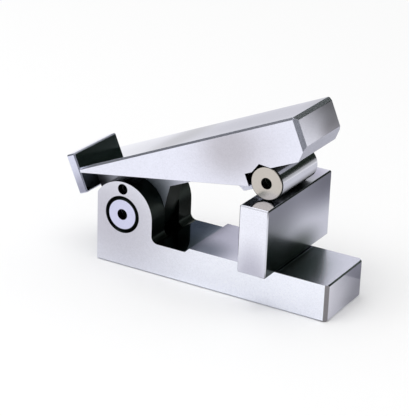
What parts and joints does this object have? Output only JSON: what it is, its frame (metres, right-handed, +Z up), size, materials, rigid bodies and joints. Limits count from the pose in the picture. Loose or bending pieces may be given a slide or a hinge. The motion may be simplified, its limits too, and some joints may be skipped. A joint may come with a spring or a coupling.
{
  "type": "sine bar",
  "caption": "Hinged sine bar: a forked base carries a tilting ground-steel bar with a stop plate and a measuring roller that rests on a gauge block to set the angle.",
  "frame": {"origin": "centre of the underside of the base", "axes": "+X from the hinge towards the roller, +Y across the base towards the back, +Z up"},
  "size_m": [0.086, 0.038, 0.0565],
  "materials": {
    "base_steel": "surface ground",
    "bar_steel": "surface ground",
    "stop_steel": "surface ground",
    "pin_steel": "cylindrically ground",
    "roller_steel": "ground and lapped",
    "block_steel": "lapped",
    "black_steel": "black oxide",
    "magnet_plate": "nickel plated",
    "plug_brass": "turned"
  },
  "bodies": {
    "base": {"base": "base_steel", "hinge_pin": "pin_steel", "lock_screw": "black_steel", "gauge_block": "block_steel"},
    "bar": {"sine_bar": "bar_steel", "stop_plate": "stop_steel", "stop_screws": "black_steel", "roller": "roller_steel", "roller_screws": "black_steel", "magnets": "magnet_plate", "magnet_plugs": "plug_brass"}
  },
  "joints": [
    {"name": "bar_hinge", "type": "hinge", "parent": "base", "child": "bar", "pos_m": [-0.029, 0, 0.016], "axis": [0, -1, 0], "range_deg": [0, 60]}
  ]
}
